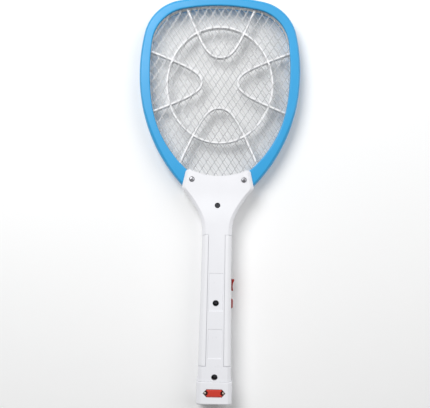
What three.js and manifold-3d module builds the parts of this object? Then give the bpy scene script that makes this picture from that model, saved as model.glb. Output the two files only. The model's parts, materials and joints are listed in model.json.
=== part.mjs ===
// Rechargeable electric fly swatter, lying on its front face.
// Millimetres, +Z up (towards the screw side), +Y towards the head, +X towards the switches.
// The origin is the middle of the resting plane under the whole racket.
import * as THREE from 'three';
import { mergeVertices } from 'three/addons/utils/BufferGeometryUtils.js';
import Module from 'manifold-3d';

const wasm = await Module();
wasm.setup();

// ---------------------------------------------------------------- driving dimensions
const LENGTH = 443;
const TAIL_Y = -LENGTH / 2;
const MID_Z = 15; // parting plane of every moulded half
const PARTING_GAP = 0.1; // each side of the parting plane
const GAP = 0.3; // clearance between neighbouring pieces

// Head frame. An outline is a top point and arcs of [radius, degrees turned], down one side.
const FRAME_TOP_Y = 221.5;
const FRAME_ARCS = [[224, 12], [46.5, 65], [192, 19.5], [174, 39]];
const OPENING_TOP_Y = 210.9;
const OPENING_ARCS = [[207, 11.3], [41.8, 71.5], [242, 15.8], [117, 40.5]];
const FRAME_HALF_DEPTH = 9;
const FRAME_LIP = 3.5;
const FRAME_WALL = 2;
const REBATE = 3;
const CHANNEL_END_Y = 44; // the hollow in the rim stops above the shoulder
const LEAD_X = 6; // grooves under the shoulder that carry the leads to the meshes
const LEAD_GROOVE = { halfSize: 1.6, endY: 26 };

// Meshes and rib spacers clamped in the head frame.
const SHEET_INSET = 0.4; // sheet edge to the wall of the rebate
const GUARD_Z = [4.2, 5.2]; // heights above and below the parting plane
const SPACER_Z = [0.8, 3.9];
const GRID_HALF_THICKNESS = 0.4;
const DIAMOND = { width: 27, height: 42, strand: 2, firstY: 10 };
const CENTRE_SHIFT = 0.25; // of a diamond's width, so that the layers don't line up
const RIM_WIDTH = 2.6;
const RIB_WIDTH = 2;
const RIB_RING = { y: 126.1, halfWidth: 57.2, halfHeight: 62.8 };

// Handle and shoulder: half width along Y, and half thickness along Y.
const HANDLE_TAIL_Y = -193.2;
const SHOULDER_TOP_Y = 33.8;
const SHOULDER = { halfWidth: 38.6, topHalfWidth: 35.6, from: 14, to: 16, corner: 4.2 };
const SHOULDER_SCOOP_RADIUS = 74;
const SHOULDER_SCOOP_Y = 27;
const HANDLE_HALF_DEPTH = 15;
const SHOULDER_HALF_DEPTH = 13;
const SHOULDER_RAMP = [-25, 10];
const EDGE_ROUND = [4, 8]; // rounding across and down the side of the casing
const CAVITY_INSET = 4;
const CAVITY_ROUND = [3, 6];
const TAIL_OPENING = { halfWidth: 14, halfDepth: 11, from: -199, to: -188 };
const GRIP = { top: -36.3, bottom: -176.8, inner: 9.4, thickness: 1.6 };

// Tail cap and its retractable two-pin plug.
// The cap's end is wedge-shaped: [distance from its tip, taken off the half width, off the half depth].
const CAP = { top: -193.5, halfWidth: 19.25, height: 31.2, wall: 2.4, floor: 6.6 };
const CAP_END = [[0, 2.2, 13.9], [0.5, 1.1, 12.2], [1.3, 0.4, 9.6], [2.4, 0, 6], [4.3, 0, 0.8], [5.1, 0, 0]];
const PLUG = { y: -205.5, pitch: 19, pinRadius: 2, travel: 18.5, window: [12.2, 4.4, 8.2] };
const PLUG_FACE_Z = [28.9, 30.7];
const PIN_Z = [6.6, 30.3];
const CARRIER = { halfWidth: 12.4, halfLength: 4.2, z: [5.3, 9.8] };
const THUMB_SLOT = { halfWidth: 2.6, recessHalfWidth: 5.4, recessDepth: 3.2 };
const THUMB = { ridge: 1, plate: [1.6, 2.6] }; // distances from the cap's tip

// Screws: [x, y, height of the seat under the head, height of the tip].
const SCREWS = {
  shoulder_screw_left: [-27.9, 22.8, 25.4, 3.4],
  shoulder_screw_right: [27.9, 22.8, 25.4, 3.4],
  neck_screw: [0, -4.7, 23.4, 6],
  grip_screw: [0, -109.3, 21, 6],
  tail_screw: [0, -188.7, 21, 6],
};
const BOSSED_SCREWS = ['neck_screw', 'grip_screw', 'tail_screw'];
const SCREW = {
  shaft: 1.4, clearance: 1.75, head: 2.8, headHeight: 1.8, counterbore: 3.2,
  slot: { halfWidth: 0.4, halfLength: 1.7, depth: 0.9 },
};
const BOSS = { front: 3.4, back: 4.4 };

// Controls on the +X side.
const ROCKER = { x: 13, y: -90.35, halfWidth: 3.8, halfThrow: 6 };
const ROCKER_HOUSING = { halfLength: 7.55, halfWidth: 5, inner: 8, outer: 16.3, wall: 0.45 };
const BUTTON = { y: -111.25, halfLength: 4.8, halfWidth: 3.6, outer: 18.6, flange: [11.2, 12.4] };

// Electronics inside the handle.
const BOARD = { z: 8, thickness: 1.6, halfWidth: 11.3, from: -118, to: -20 };
const BOARD_TOP = BOARD.z + BOARD.thickness + 0.2;
const CELL = { radius: 7.1, from: -182, to: -132 };
const TRANSFORMER = { halfWidth: 8, from: -44, to: -28, height: 9 };
const TRANSISTOR = { x: -6.5, y: -49.8, radius: 2.4, height: 4.8 };
const LED = { x: -4, radius: 1.5, readyY: -58, chargeY: -66 };

// ---------------------------------------------------------------- solids
// A three.js geometry as a manifold-3d solid.
function solid(geometry) {
  const bare = geometry.clone();
  bare.deleteAttribute('normal');
  bare.deleteAttribute('uv');
  const merged = mergeVertices(bare, 1e-4);
  const mesh = new wasm.Mesh({
    numProp: 3,
    vertProperties: new Float32Array(merged.attributes.position.array),
    triVerts: new Uint32Array(merged.index.array),
  });
  mesh.merge();
  return new wasm.Manifold(mesh);
}

// A manifold-3d solid as a three.js geometry.
function shell(manifold) {
  const mesh = manifold.getMesh();
  const geometry = new THREE.BufferGeometry();
  geometry.setAttribute('position', new THREE.BufferAttribute(mesh.vertProperties, 3));
  geometry.setIndex(new THREE.BufferAttribute(mesh.triVerts, 1));
  geometry.computeVertexNormals();
  return geometry;
}

// A box from its lowest to its highest corner.
function box(low, high) {
  const size = high.map((value, axis) => value - low[axis]);
  const centre = high.map((value, axis) => (value + low[axis]) / 2);
  return new THREE.BoxGeometry(...size).translate(...centre);
}

// A flat shape, or a list of them, between two heights.
function slab(shapes, low, high) {
  const settings = { depth: high - low, bevelEnabled: false, curveSegments: 10 };
  return new THREE.ExtrudeGeometry(shapes, settings).translate(0, 0, low);
}

// A round bar along Z, X or Y, from one end to the other.
function rod(axis, centre, radius, from, to, sides = 16) {
  const bar = new THREE.CylinderGeometry(radius, radius, to - from, sides);
  if (axis === 'z') {
    return bar.rotateX(Math.PI / 2).translate(centre[0], centre[1], (from + to) / 2);
  }
  if (axis === 'x') {
    return bar.rotateZ(Math.PI / 2).translate((from + to) / 2, centre[0], centre[1]);
  }
  return bar.translate(centre[0], (from + to) / 2, centre[1]);
}

// A shape through points given either way round.
function polygon(points) {
  const corners = points.map(([x, y]) => new THREE.Vector2(x, y));
  return new THREE.Shape(THREE.ShapeUtils.isClockWise(corners) ? corners.reverse() : corners);
}

// ---------------------------------------------------------------- outlines
// Points down the right side of a chain of tangent arcs that starts level at (0, top).
function arcChain(top, arcs) {
  const points = [[0, top]];
  let turned = 0;
  for (const [radius, degrees] of arcs) {
    const [x, y] = points[points.length - 1];
    const centre = [x - radius * Math.sin(turned), y - radius * Math.cos(turned)];
    const steps = Math.max(2, Math.round(degrees / 6.5));
    for (let step = 1; step <= steps; step++) {
      const angle = turned + (THREE.MathUtils.degToRad(degrees) * step) / steps;
      points.push([centre[0] + radius * Math.sin(angle), centre[1] + radius * Math.cos(angle)]);
    }
    turned += THREE.MathUtils.degToRad(degrees);
  }
  return { points, turned };
}

// The same points carried to the axis by one last arc.
function closedChain(top, arcs) {
  const { points, turned } = arcChain(top, arcs);
  const [x] = points[points.length - 1];
  const rest = 180 - THREE.MathUtils.radToDeg(turned);
  return arcChain(top, [...arcs, [x / Math.sin(turned), rest]]).points;
}

function mirrored(points) {
  const left = points.filter(([x]) => x > 1e-6).map(([x, y]) => [-x, y]);
  return [...points, ...left.reverse()];
}

// A closed outline moved outwards, or inwards when the distance is negative.
function offset(points, distance) {
  return points.map(([x, y], index) => {
    const before = points[(index + points.length - 1) % points.length];
    const after = points[(index + 1) % points.length];
    const along = new THREE.Vector2(after[0] - before[0], after[1] - before[1]).normalize();
    return [x - along.y * distance, y + along.x * distance];
  });
}

const frameOutline = mirrored(arcChain(FRAME_TOP_Y, FRAME_ARCS).points);
const openingOutline = mirrored(closedChain(OPENING_TOP_Y, OPENING_ARCS));
const sheetOutline = offset(openingOutline, REBATE - SHEET_INSET);

// ---------------------------------------------------------------- head frame
// A height above the parting plane for the back half (side 1) or below it for the front half (-1).
function layer(shape, from, to, side) {
  const ends = [MID_Z + side * from, MID_Z + side * to];
  return solid(slab(shape, Math.min(...ends), Math.max(...ends)));
}

// One moulded half: a lip over the meshes, a wall down to the parting plane, and a hollow rim.
function frameHalf(side) {
  const whole = layer(polygon(frameOutline), PARTING_GAP, FRAME_HALF_DEPTH, side);
  const opening = layer(polygon(openingOutline), -1, FRAME_HALF_DEPTH + 1, side);
  const lipLevel = FRAME_HALF_DEPTH - FRAME_LIP;
  const rebate = layer(polygon(offset(openingOutline, REBATE)), -1, lipLevel, side);
  const rim = layer(polygon(offset(frameOutline, -FRAME_WALL)), -1, FRAME_HALF_DEPTH - FRAME_WALL, side);
  const inner = layer(polygon(offset(openingOutline, REBATE + FRAME_WALL)), -2, FRAME_HALF_DEPTH, side);
  const above = solid(box([-100, CHANNEL_END_Y, -10], [100, 240, 40]));
  const channel = rim.subtract(inner).intersect(above);
  let half = whole.subtract(opening).subtract(rebate).subtract(channel);
  for (const name of ['shoulder_screw_left', 'shoulder_screw_right']) {
    const [x, y] = SCREWS[name];
    half = half.subtract(solid(rod('z', [x, y], SCREW.clearance, -1, 31)));
  }
  const { halfSize, endY } = LEAD_GROOVE;
  for (const x of [-LEAD_X, LEAD_X]) {
    const groove = box([x - halfSize, 0, MID_Z - halfSize], [x + halfSize, endY, MID_Z + halfSize]);
    half = half.subtract(solid(groove));
  }
  return half;
}

// ---------------------------------------------------------------- meshes and spacers
// Diamond openings over the head, clipped to the outline that leaves a rim.
function diamonds(shift) {
  const { width, height, strand, firstY } = DIAMOND;
  const shapes = [];
  const slant = Math.hypot(width, height) / 2;
  const halfWidth = width / 2 - (strand / 2) * (slant / (height / 2));
  const halfHeight = height / 2 - (strand / 2) * (slant / (width / 2));
  for (let row = 0; row < 11; row++) {
    for (let column = -4; column <= 4; column++) {
      const x = (column + (row % 2 === 0 ? 0 : 0.5) + shift) * width;
      const y = firstY + (row * height) / 2;
      const corners = [[x + halfWidth, y], [x, y + halfHeight], [x - halfWidth, y], [x, y - halfHeight]];
      shapes.push(polygon(corners));
    }
  }
  return shapes;
}

function sheet(low, high, shift) {
  const plate = solid(slab(polygon(sheetOutline), low, high));
  const field = solid(slab(polygon(offset(openingOutline, -0.6)), low - 1, high + 1));
  const holes = solid(slab(diamonds(shift), low - 2, high + 2));
  return plate.subtract(holes.intersect(field));
}

// A strip of even width along a curve in the plane.
function band(curve, width, divisions = 7) {
  const left = [];
  const right = [];
  for (let step = 0; step <= divisions; step++) {
    const point = curve.getPoint(step / divisions);
    const along = curve.getTangent(step / divisions);
    left.push([point.x - (along.y * width) / 2, point.y + (along.x * width) / 2]);
    right.unshift([point.x + (along.y * width) / 2, point.y - (along.x * width) / 2]);
  }
  return polygon([...left, ...right]);
}

// One limb of a U-shaped rib, from its rounded vertex out to the rim.
function limb(vertex, near, far, end) {
  const points = [vertex, near, far, end].map(([x, y]) => new THREE.Vector2(x, y));
  return new THREE.CubicBezierCurve(...points);
}

const RIB_LIMBS = [
  limb([-0.4, 156.1], [14, 156.1], [19.5, 168], [37.4, 209.9]),
  limb([0.4, 156.1], [-14, 156.1], [-19.5, 168], [-37.4, 209.9]),
  limb([-0.4, 101.1], [14, 101.1], [21, 87], [42.1, 40.4]),
  limb([0.4, 101.1], [-14, 101.1], [-21, 87], [-42.1, 40.4]),
  limb([19.6, 128.4], [19.6, 139], [33, 145.5], [77.2, 162]),
  limb([19.6, 129.2], [19.6, 118.6], [33, 112.1], [73.8, 95.8]),
  limb([-19.6, 128.4], [-19.6, 139], [-33, 145.5], [-77.2, 162]),
  limb([-19.6, 129.2], [-19.6, 118.6], [-33, 112.1], [-73.8, 95.8]),
];

function ribRing() {
  const { y, halfWidth, halfHeight } = RIB_RING;
  const ring = new THREE.Shape();
  ring.absellipse(0, y, halfWidth + RIB_WIDTH / 2, halfHeight + RIB_WIDTH / 2, 0, 2 * Math.PI);
  const hole = new THREE.Path();
  hole.absellipse(0, y, halfWidth - RIB_WIDTH / 2, halfHeight - RIB_WIDTH / 2, 0, 2 * Math.PI);
  ring.holes.push(hole);
  return ring;
}

// The white moulding that keeps a guard mesh off the centre grid.
function ribSpacer(side) {
  const rim = polygon(sheetOutline);
  rim.holes.push(polygon(offset(sheetOutline, -RIM_WIDTH)));
  let spacer = layer(rim, ...SPACER_Z, side);
  const [low, high] = [MID_Z + side * SPACER_Z[0], MID_Z + side * SPACER_Z[1]].sort((a, b) => a - b);
  const settings = { depth: high - low, bevelEnabled: false, curveSegments: 16 };
  const ring = new THREE.ExtrudeGeometry(ribRing(), settings);
  spacer = spacer.add(solid(ring.translate(0, 0, low)));
  for (const curve of RIB_LIMBS) {
    spacer = spacer.add(layer(band(curve, RIB_WIDTH), ...SPACER_Z, side));
  }
  return spacer.intersect(layer(polygon(sheetOutline), ...SPACER_Z, side));
}

// ---------------------------------------------------------------- handle casing
// Half width of the casing at stations along Y, from the cap joint to the shoulder's top edge.
function casingStations() {
  const neck = new THREE.SplineCurve([
    [-53, 16.1], [-37, 16.2], [-25, 16.8], [-17.2, 18.8], [-8.4, 23], [3, 30.3], [11.8, 37.4],
  ].map(([y, width]) => new THREE.Vector2(y, width)));
  const stations = [[HANDLE_TAIL_Y, 18.1], [-176, 17.8], [-150, 17.4], [-115, 16.8], [-80, 16.3]];
  for (const point of neck.getPoints(9)) {
    stations.push([point.x, point.y]);
  }
  const { halfWidth, topHalfWidth, from, to, corner } = SHOULDER;
  stations.push([from, halfWidth], [to, halfWidth]);
  for (const degrees of [0, 30, 60, 90]) {
    const angle = THREE.MathUtils.degToRad(degrees);
    const y = SHOULDER_TOP_Y - corner + corner * Math.sin(angle);
    stations.push([y, topHalfWidth - corner + corner * Math.cos(angle)]);
  }
  return stations;
}

function casingHalfDepth(y) {
  const along = THREE.MathUtils.smoothstep(y, ...SHOULDER_RAMP);
  return THREE.MathUtils.lerp(HANDLE_HALF_DEPTH, SHOULDER_HALF_DEPTH, along);
}

// A quarter of the rounded-box section: a flat, an elliptical edge and a flat side.
function quarterSection(halfWidth, halfDepth, rounding) {
  const across = rounding[0];
  const down = Math.min(rounding[1], halfDepth * 0.8); // a shallow section keeps a flat side
  const quarter = [[0, halfDepth]];
  for (let step = 0; step <= 4; step++) {
    const angle = (Math.PI / 8) * step;
    quarter.push([
      halfWidth - across + across * Math.sin(angle),
      halfDepth - down + down * Math.cos(angle),
    ]);
  }
  return [...quarter, [halfWidth, 0]];
}

// A closed body along Y with a rounded-box section at each station [y, half width, half depth].
function loft(stations, centreZ, rounding) {
  const first = stations[0][0];
  const last = stations[stations.length - 1][0];
  const profile = stations.map(([y]) => new THREE.Vector2(1, y));
  profile.unshift(new THREE.Vector2(0, first));
  profile.push(new THREE.Vector2(0, last));
  const sides = 24;
  const body = new THREE.LatheGeometry(profile, sides);
  const position = body.attributes.position;
  for (let index = 0; index < position.count; index++) {
    const side = Math.floor(index / profile.length) % sides;
    const row = index % profile.length;
    const station = stations[THREE.MathUtils.clamp(row - 1, 0, stations.length - 1)];
    const quarter = quarterSection(station[1], station[2], rounding);
    const place = side % 12;
    const [x, z] = quarter[place <= 6 ? place : 12 - place];
    const right = side <= 12 ? 1 : -1;
    const isAxis = row === 0 || row === profile.length - 1;
    const up = side < 6 || side > 18 ? 1 : -1;
    const isCrossing = side % 12 === 6;
    position.setX(index, isAxis ? 0 : right * x);
    position.setZ(index, isAxis ? centreZ : centreZ + (isCrossing ? 0 : up * z));
  }
  return body;
}

// The outer form of handle and shoulder, or the same form shrunk on every side.
function casing(inset, round = EDGE_ROUND) {
  const ends = [HANDLE_TAIL_Y + inset, SHOULDER_TOP_Y - inset];
  const stations = casingStations().map(([y, halfWidth]) => [
    THREE.MathUtils.clamp(y, ...ends), halfWidth - inset, casingHalfDepth(y) - inset,
  ]);
  const distinct = stations.filter(([y], index) => index === 0 || y > stations[index - 1][0] + 0.01);
  const scoopY = SHOULDER_SCOOP_Y + SHOULDER_SCOOP_RADIUS;
  const scoop = rod('z', [0, scoopY], SHOULDER_SCOOP_RADIUS + inset, -5, 40, 96);
  return solid(loft(distinct, MID_Z, round)).subtract(solid(scoop));
}

// Everything the two grip strips cover, grown by the clearance.
function gripZone(grow) {
  const { top, bottom, inner } = GRIP;
  let zone = solid(box([-30, bottom - grow, -5], [-inner + grow, top + grow, 40]));
  zone = zone.add(solid(box([inner - grow, bottom - grow, -5], [30, top + grow, 40])));
  return zone;
}

function controlWindows(grow) {
  const rockerY = ROCKER_HOUSING.halfLength + grow;
  const rockerZ = ROCKER_HOUSING.halfWidth + grow;
  const buttonY = BUTTON.halfLength + grow;
  const buttonZ = BUTTON.halfWidth + grow;
  const rocker = box([9, ROCKER.y - rockerY, MID_Z - rockerZ], [30, ROCKER.y + rockerY, MID_Z + rockerZ]);
  const button = box([9, BUTTON.y - buttonY, MID_Z - buttonZ], [30, BUTTON.y + buttonY, MID_Z + buttonZ]);
  return solid(rocker).add(solid(button));
}

const outerForm = casing(0);

// Walls of both casing halves in one piece, before they are parted.
function casingWalls() {
  const recessed = outerForm.subtract(gripZone(GAP).subtract(casing(GRIP.thickness + GAP)));
  const { halfWidth, halfDepth, from, to } = TAIL_OPENING;
  const tailOpening = loft([[from, halfWidth, halfDepth], [to, halfWidth, halfDepth]], MID_Z, CAVITY_ROUND);
  const headSpace = slab(polygon(offset(frameOutline, GAP)), 0, 2 * (FRAME_HALF_DEPTH + GAP));
  const cavity = casing(CAVITY_INSET, CAVITY_ROUND).add(solid(tailOpening));
  return recessed
    .subtract(cavity)
    .subtract(solid(headSpace.translate(0, 0, MID_Z - FRAME_HALF_DEPTH - GAP)))
    .subtract(controlWindows(GAP));
}

function backShell(walls) {
  let half = walls.intersect(solid(box([-60, -230, MID_Z + PARTING_GAP], [60, 60, 40])));
  for (const name of BOSSED_SCREWS) {
    const [x, y] = SCREWS[name];
    half = half.add(solid(rod('z', [x, y], BOSS.back, MID_Z + PARTING_GAP, 27)));
  }
  for (const [x, y, seat] of Object.values(SCREWS)) {
    half = half.subtract(solid(rod('z', [x, y], SCREW.counterbore, seat, 40, 20)));
    half = half.subtract(solid(rod('z', [x, y], SCREW.clearance, 0, 30)));
  }
  return half;
}

function frontShell(walls) {
  let half = walls.intersect(solid(box([-60, -230, -5], [60, 60, MID_Z - PARTING_GAP])));
  for (const name of BOSSED_SCREWS) {
    const [x, y] = SCREWS[name];
    half = half.add(solid(rod('z', [x, y], BOSS.front, 2, MID_Z - PARTING_GAP)));
  }
  for (const [x, y, , tip] of Object.values(SCREWS)) {
    half = half.subtract(solid(rod('z', [x, y], SCREW.clearance, tip - GAP, 30)));
  }
  for (const y of [LED.readyY, LED.chargeY]) {
    half = half.subtract(solid(rod('z', [LED.x, y], LED.radius + GAP, -5, 10)));
  }
  return half;
}

function gripStrip(side) {
  const skin = outerForm.subtract(casing(GRIP.thickness)).intersect(gripZone(0));
  const half = side > 0 ? box([0, -230, -5], [60, 60, 40]) : box([-60, -230, -5], [0, 60, 40]);
  return skin.intersect(solid(half)).subtract(controlWindows(GAP));
}

function screw([x, y, seat, tip]) {
  const { shaft, head, headHeight, slot } = SCREW;
  const crown = seat + GAP + headHeight;
  const profile = [
    [0, tip], [shaft * 0.6, tip], [shaft, tip + 2], [shaft, seat + GAP],
    [head, seat + GAP], [head, crown - 0.7], [head * 0.75, crown], [0, crown],
  ].map(([radius, height]) => new THREE.Vector2(radius, height));
  const body = solid(new THREE.LatheGeometry(profile, 12).rotateX(Math.PI / 2).translate(x, y, 0));
  const { halfWidth, halfLength, depth } = slot;
  const floor = crown - depth;
  const long = box([x - halfLength, y - halfWidth, floor], [x + halfLength, y + halfWidth, crown + 1]);
  const across = box([x - halfWidth, y - halfLength, floor], [x + halfWidth, y + halfLength, crown + 1]);
  return body.subtract(solid(long)).subtract(solid(across));
}

// ---------------------------------------------------------------- tail cap and plug
function plugWindow(grow) {
  const [tip, halfHeight, shoulder] = PLUG.window;
  const high = halfHeight + grow;
  const corners = [[tip + grow, 0], [shoulder, high], [-shoulder, high], [-tip - grow, 0]];
  const outline = [...corners, [-shoulder, -high], [shoulder, -high]];
  return polygon(outline.map(([x, y]) => [x, y + PLUG.y]));
}

function tailCap() {
  const middle = CAP.height / 2;
  const stations = CAP_END.map(([along, narrower, thinner]) => [
    TAIL_Y + along, CAP.halfWidth - narrower, middle - thinner,
  ]);
  const outer = loft([...stations, [CAP.top, CAP.halfWidth, middle]], middle, EDGE_ROUND);
  const inner = loft([
    [TAIL_Y + CAP.floor, CAP.halfWidth - CAP.wall, middle - CAP.wall],
    [CAP.top + 5, CAP.halfWidth - CAP.wall, middle - CAP.wall],
  ], middle, CAVITY_ROUND);
  const { halfWidth, recessHalfWidth, recessDepth } = THUMB_SLOT;
  const [slotLow, slotHigh] = [CARRIER.z[0] - 0.6, CARRIER.z[1] + PLUG.travel + 0.6];
  const slot = box([-halfWidth, TAIL_Y - 1, slotLow], [halfWidth, TAIL_Y + CAP.floor + 1, slotHigh]);
  const recess = box(
    [-recessHalfWidth, TAIL_Y - 1, slotLow - 0.4], [recessHalfWidth, TAIL_Y + recessDepth, slotHigh + 0.4],
  );
  return solid(outer)
    .subtract(solid(inner))
    .subtract(solid(slab(plugWindow(0), 20, 40)))
    .subtract(solid(slot))
    .subtract(solid(recess));
}

function plugFace() {
  const [, halfHeight] = PLUG.window;
  const half = [PLUG.pitch / 2, halfHeight - GAP];
  const [low, high] = PLUG_FACE_Z;
  const face = box([-half[0], PLUG.y - half[1], low], [half[0], PLUG.y + half[1], high]);
  let bar = solid(face).intersect(solid(slab(plugWindow(-GAP), 28, 32)));
  for (const x of [-half[0], half[0]]) {
    bar = bar.subtract(solid(rod('z', [x, PLUG.y], PLUG.pinRadius + 0.45, 20, 40)));
  }
  return bar;
}

function pin(x) {
  const { pinRadius: radius, y } = PLUG;
  const [foot, tip] = PIN_Z;
  const profile = [
    [0, foot], [radius, foot], [radius, tip - 1.8], [radius * 0.87, tip - 0.9], [radius * 0.5, tip - 0.2],
    [radius * 0.15, tip], [0, tip],
  ];
  const points = profile.map(([r, z]) => new THREE.Vector2(r, z));
  return new THREE.LatheGeometry(points, 16).rotateX(Math.PI / 2).translate(x, y, 0);
}

function pinCarrier() {
  const { halfWidth, halfLength, z: [low, high] } = CARRIER;
  const block = box([-halfWidth, PLUG.y - halfLength, low], [halfWidth, PLUG.y + halfLength, high]);
  const arm = box([-2.2, TAIL_Y + CAP.floor + 0.6, low], [2.2, PLUG.y, high]);
  let carrier = solid(block).add(solid(arm));
  for (const x of [-PLUG.pitch / 2, PLUG.pitch / 2]) {
    carrier = carrier.subtract(solid(rod('z', [x, PLUG.y], PLUG.pinRadius + 0.15, PIN_Z[0] - 0.2, 20)));
  }
  return carrier;
}

// The thumb piece in the slot of the cap's end, with three grip ridges.
function thumbSlide() {
  const [low, high] = CARRIER.z;
  const [outer, inner] = THUMB.plate.map((depth) => TAIL_Y + depth);
  let slide = solid(box([-2.2, inner - 0.5, low], [2.2, TAIL_Y + CAP.floor + 0.3, high]));
  slide = slide.add(solid(box([-5, outer, low - 0.4], [5, inner, high + 0.4])));
  for (const z of [-1.5, 0, 1.5]) {
    const middle = (low + high) / 2 + z;
    slide = slide.add(solid(box([-4.2, TAIL_Y + THUMB.ridge, middle - 0.3], [4.2, outer + 0.3, middle + 0.3])));
  }
  return slide;
}

// ---------------------------------------------------------------- controls
function rockerHousing() {
  const { halfLength, halfWidth, inner, outer, wall } = ROCKER_HOUSING;
  const body = box(
    [inner, ROCKER.y - halfLength, MID_Z - halfWidth], [outer, ROCKER.y + halfLength, MID_Z + halfWidth],
  );
  const pocket = box(
    [inner + 1.2, ROCKER.y - halfLength + wall, MID_Z - ROCKER.halfWidth - GAP],
    [outer + 1, ROCKER.y + halfLength - wall, MID_Z + ROCKER.halfWidth + GAP],
  );
  return solid(body).subtract(solid(pocket));
}

// The rocker turns about a Z axis through its own origin, and rests with its upper end out.
function rocker() {
  const outline = new THREE.Shape();
  outline.moveTo(6.25, 5.9);
  outline.lineTo(5.4, 6.1);
  outline.lineTo(2.4, 6);
  outline.lineTo(-1.4, 2);
  outline.lineTo(-1.4, -2);
  outline.lineTo(2.4, -6);
  outline.lineTo(5.4, -6.1);
  outline.lineTo(6.25, -5.9);
  outline.quadraticCurveTo(4.15, 0, 6.25, 5.9);
  return slab(outline, -ROCKER.halfWidth, ROCKER.halfWidth);
}

function pushButton() {
  const { y, halfLength, halfWidth, outer, flange } = BUTTON;
  const cap = polygon([
    [flange[0], y - halfLength], [outer - 0.6, y - halfLength], [outer, y - halfLength + 1],
    [outer, y + halfLength - 1], [outer - 0.6, y + halfLength], [flange[0], y + halfLength],
  ]);
  const rim = box(
    [flange[0], y - halfLength - 0.9, MID_Z - halfWidth - 0.9],
    [flange[1], y + halfLength + 0.9, MID_Z + halfWidth + 0.9],
  );
  return solid(slab(cap, MID_Z - halfWidth, MID_Z + halfWidth)).add(solid(rim));
}

function tactSwitchBody() {
  const body = solid(box([4.8, BUTTON.y - 3.1, BOARD_TOP], [8.6, BUTTON.y + 3.1, 18.2]));
  return body.subtract(solid(rod('x', [BUTTON.y, MID_Z], 1.9, 6.5, 10)));
}

// ---------------------------------------------------------------- electronics
function circuitBoard() {
  const { z, thickness, halfWidth, from, to } = BOARD;
  const plate = solid(box([-halfWidth, from, z], [halfWidth, to, z + thickness]));
  const [x, y] = SCREWS.grip_screw;
  return plate.subtract(solid(rod('z', [x, y], BOSS.front + 0.5, 0, 20)));
}

// Two E-shaped stacks closed into a window frame, with the winding round the middle leg.
function transformerCore() {
  const { halfWidth, from, to, height } = TRANSFORMER;
  const frame = solid(box([-halfWidth, from, BOARD_TOP], [halfWidth, to, BOARD_TOP + height]));
  const windowLeft = solid(box([-5.6, from + 2.4, 0], [-2.4, to - 2.4, 40]));
  const windowRight = solid(box([2.4, from + 2.4, 0], [5.6, to - 2.4, 40]));
  return frame.subtract(windowLeft).subtract(windowRight);
}

function transformerWinding() {
  const { from, to, height } = TRANSFORMER;
  const coil = solid(box([-5.3, from + 2.7, BOARD_TOP], [5.3, to - 2.7, BOARD_TOP + height + 2.5]));
  const leg = solid(box([-2.7, from - 1, BOARD_TOP - 1], [2.7, to + 1, BOARD_TOP + height + GAP]));
  return coil.subtract(leg);
}

function transistor() {
  const outline = new THREE.Shape();
  outline.absarc(0, 0, TRANSISTOR.radius, -0.25 * Math.PI, 1.25 * Math.PI);
  const { x, y, height } = TRANSISTOR;
  return slab(outline, BOARD_TOP, BOARD_TOP + height).translate(x, y, 0);
}

function batteryCradle() {
  const { radius, from, to } = CELL;
  const block = solid(box([-9.4, from + 3, 4.2], [9.4, to - 3, 12]));
  const trough = solid(rod('y', [0, MID_Z], radius + GAP, from - 5, to + 5, 28));
  return block.subtract(trough);
}

// A wire of round section along points given by hand.
function wire(points, radius = 0.7) {
  const path = new THREE.CatmullRomCurve3(points.map((point) => new THREE.Vector3(...point)));
  const section = new THREE.Shape();
  section.absarc(0, 0, radius, 0, 2 * Math.PI);
  const settings = { steps: 8, curveSegments: 4, bevelEnabled: false, extrudePath: path };
  return new THREE.ExtrudeGeometry(section, settings);
}

// ---------------------------------------------------------------- assembly
const swatter = new THREE.Group();

function add(name, shape, colour, roughness, metalness = 0) {
  const geometry = shape instanceof THREE.BufferGeometry ? shape : shell(shape);
  const material = new THREE.MeshStandardMaterial({ color: colour, roughness, metalness });
  const mesh = new THREE.Mesh(geometry, material);
  mesh.name = name;
  swatter.add(mesh);
  return mesh;
}

const WHITE = 0xf2f2f5;
const BLUE = 0x4fa9e6;
const RED = 0xc0281e;
const STEEL = 0xb9bcc0;
const GREY_WHITE = 0xe9eaee;
const BRASS = 0xc8b47a;
const BLACK = 0x1e1e20;
const walls = casingWalls();

add('back_shell', backShell(walls), WHITE, 0.35);
add('front_shell', frontShell(walls), WHITE, 0.35);
add('left_grip_strip', gripStrip(-1), GREY_WHITE, 0.5);
add('right_grip_strip', gripStrip(1), GREY_WHITE, 0.5);
add('tail_cap', tailCap(), WHITE, 0.35);
for (const [name, place] of Object.entries(SCREWS)) {
  add(name, screw(place), STEEL, 0.35, 1);
}

add('back_frame_ring', frameHalf(1), BLUE, 0.35);
add('front_frame_ring', frameHalf(-1), BLUE, 0.35);
add('back_guard_mesh', sheet(MID_Z + GUARD_Z[0], MID_Z + GUARD_Z[1], 0), STEEL, 0.4, 1);
add('back_rib_spacer', ribSpacer(1), WHITE, 0.4);
const grid = sheet(MID_Z - GRID_HALF_THICKNESS, MID_Z + GRID_HALF_THICKNESS, CENTRE_SHIFT);
add('centre_grid', grid, STEEL, 0.4, 1);
add('front_rib_spacer', ribSpacer(-1), WHITE, 0.4);
add('front_guard_mesh', sheet(MID_Z - GUARD_Z[1], MID_Z - GUARD_Z[0], 0), STEEL, 0.4, 1);

add('plug_face', plugFace(), RED, 0.4);
add('pin_left', pin(-PLUG.pitch / 2), BRASS, 0.25, 1);
add('pin_right', pin(PLUG.pitch / 2), BRASS, 0.25, 1);
add('pin_carrier', pinCarrier(), 0x2a2a2c, 0.6);
add('thumb_slide', thumbSlide(), RED, 0.45);
for (const [name, side] of [['contact_spring_left', -1], ['contact_spring_right', 1]]) {
  const x = (side * PLUG.pitch) / 2;
  const near = PLUG.y + CARRIER.halfLength + GAP;
  add(name, box([x - 2, near, 19.5], [x + 2, near + 0.6, 28.2]), BRASS, 0.3, 1);
}

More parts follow.
